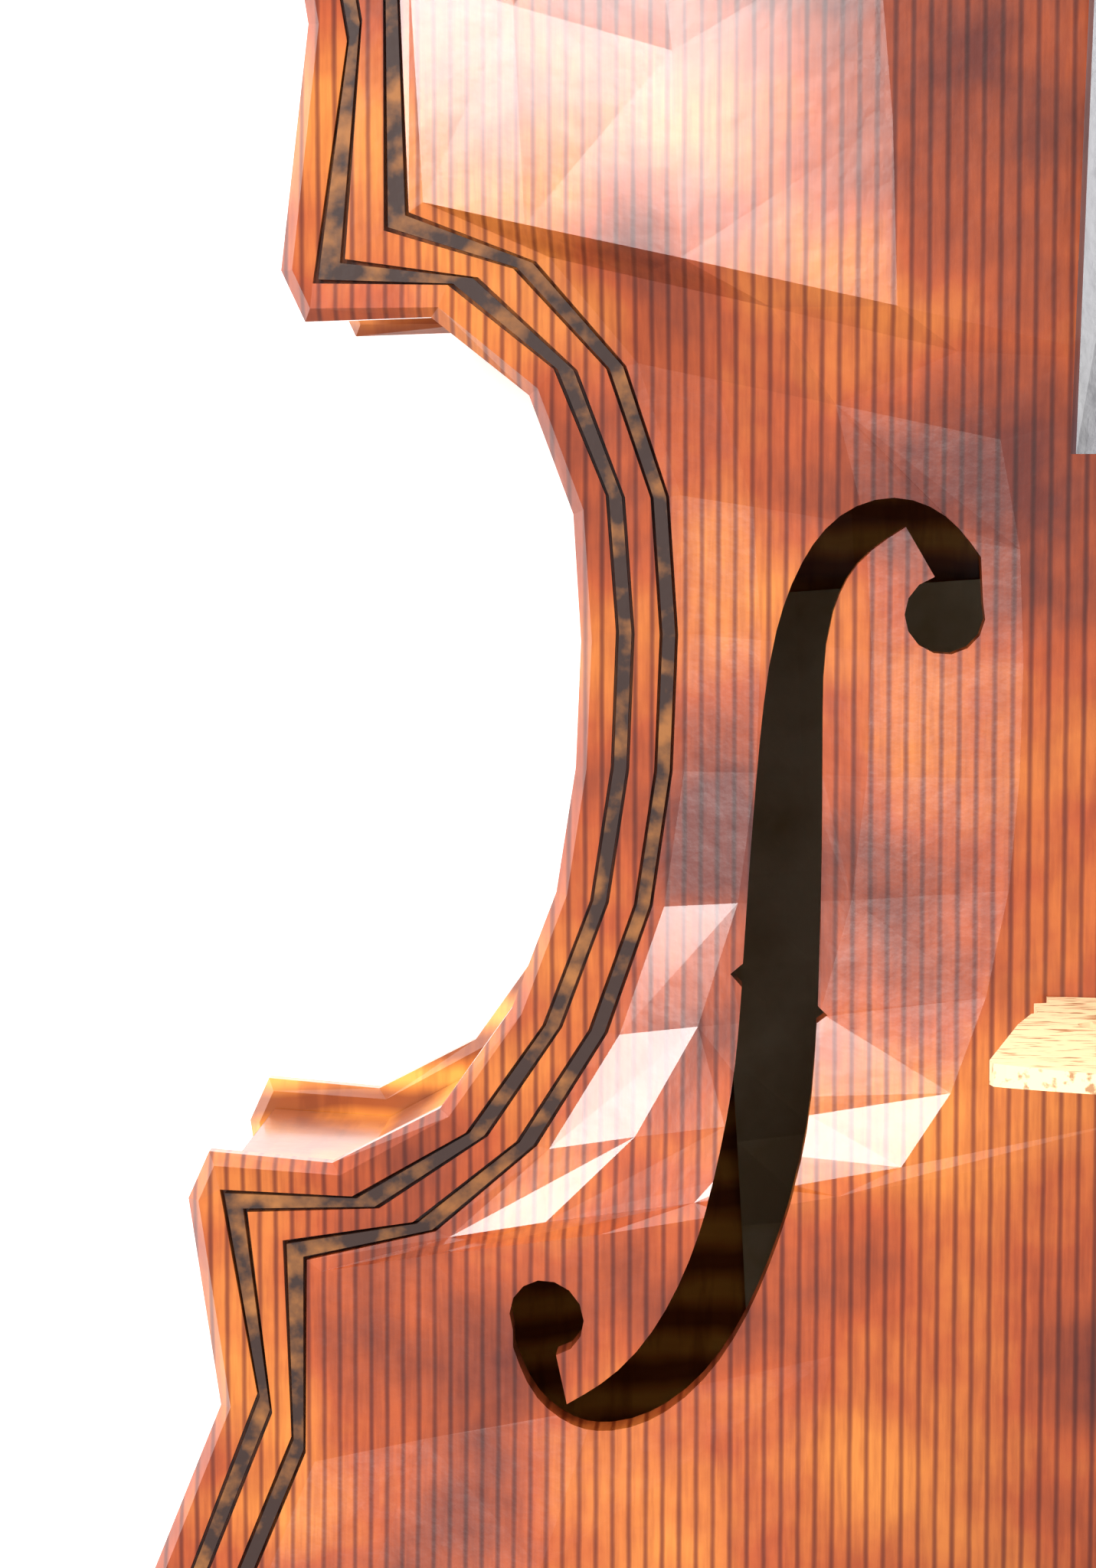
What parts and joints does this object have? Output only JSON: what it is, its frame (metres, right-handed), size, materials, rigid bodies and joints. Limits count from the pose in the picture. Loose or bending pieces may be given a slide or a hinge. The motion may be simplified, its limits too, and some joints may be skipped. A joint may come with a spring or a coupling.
{
  "type": "viola",
  "caption": "Viola with arched, double-purfled plates, six ribs, fitted bridge, tailpiece, fingerboard and strings, and four turning pegs.",
  "frame": {"origin": "on the flat of the back's crown, straight under the bridge", "axes": "+Z from the back to the top, +Y towards the scroll, +X towards the treble side"},
  "size_m": [0.2408, 0.6912, 0.1169],
  "materials": {
    "varnished_spruce": "glossy oil varnish",
    "varnished_maple": "glossy oil varnish",
    "bare_spruce": "unvarnished",
    "ebony": "polished",
    "bridge_maple": "planed, unvarnished",
    "purfling": "inlaid and varnished",
    "string_metal": "wound",
    "tail_gut": "smooth cord",
    "label_paper": "aged paper"
  },
  "bodies": {
    "instrument": {"top_plate": "varnished_spruce", "back_plate": "varnished_maple", "bass_upper_rib": "varnished_maple", "treble_upper_rib": "varnished_maple", "bass_waist_rib": "varnished_maple", "treble_waist_rib": "varnished_maple", "bass_lower_rib": "varnished_maple", "treble_lower_rib": "varnished_maple", "bass_upper_back_lining": "bare_spruce", "treble_upper_back_lining": "bare_spruce", "bass_waist_back_lining": "bare_spruce", "treble_waist_back_lining": "bare_spruce", "bass_lower_back_lining": "bare_spruce", "treble_lower_back_lining": "bare_spruce", "bass_upper_top_lining": "bare_spruce", "treble_upper_top_lining": "bare_spruce", "bass_waist_top_lining": "bare_spruce", "treble_waist_top_lining": "bare_spruce", "bass_lower_top_lining": "bare_spruce", "treble_lower_top_lining": "bare_spruce", "upper_block": "bare_spruce", "lower_block": "bare_spruce", "bass_upper_corner_block": "bare_spruce", "treble_upper_corner_block": "bare_spruce", "bass_lower_corner_block": "bare_spruce", "treble_lower_corner_block": "bare_spruce", "bass_bar": "bare_spruce", "sound_post": "bare_spruce", "top_inner_purfling": "purfling", "bass_outer_purfling": "purfling", "treble_outer_purfling": "purfling", "back_outer_purfling": "purfling", "back_inner_purfling": "purfling", "neck_and_scroll": "varnished_maple", "fingerboard": "ebony", "nut": "ebony", "bridge": "bridge_maple", "c_string": "string_metal", "g_string": "string_metal", "d_string": "string_metal", "a_string": "string_metal", "tailpiece": "ebony", "tail_gut": "tail_gut", "end_button": "ebony", "saddle": "ebony", "label": "label_paper"},
    "c_peg_body": {"c_peg": "ebony"},
    "g_peg_body": {"g_peg": "ebony"},
    "d_peg_body": {"d_peg": "ebony"},
    "a_peg_body": {"a_peg": "ebony"}
  },
  "joints": [
    {"name": "c_peg_turn", "type": "hinge", "parent": "instrument", "child": "c_peg_body", "pos_m": [0, 0.388, 0.042], "axis": [1, 0, 0], "continuous": true},
    {"name": "g_peg_turn", "type": "hinge", "parent": "instrument", "child": "g_peg_body", "pos_m": [0, 0.423, 0.02944], "axis": [1, 0, 0], "continuous": true},
    {"name": "d_peg_turn", "type": "hinge", "parent": "instrument", "child": "d_peg_body", "pos_m": [0, 0.44, 0.02334], "axis": [1, 0, 0], "continuous": true},
    {"name": "a_peg_turn", "type": "hinge", "parent": "instrument", "child": "a_peg_body", "pos_m": [0, 0.405, 0.0359], "axis": [1, 0, 0], "continuous": true}
  ]
}
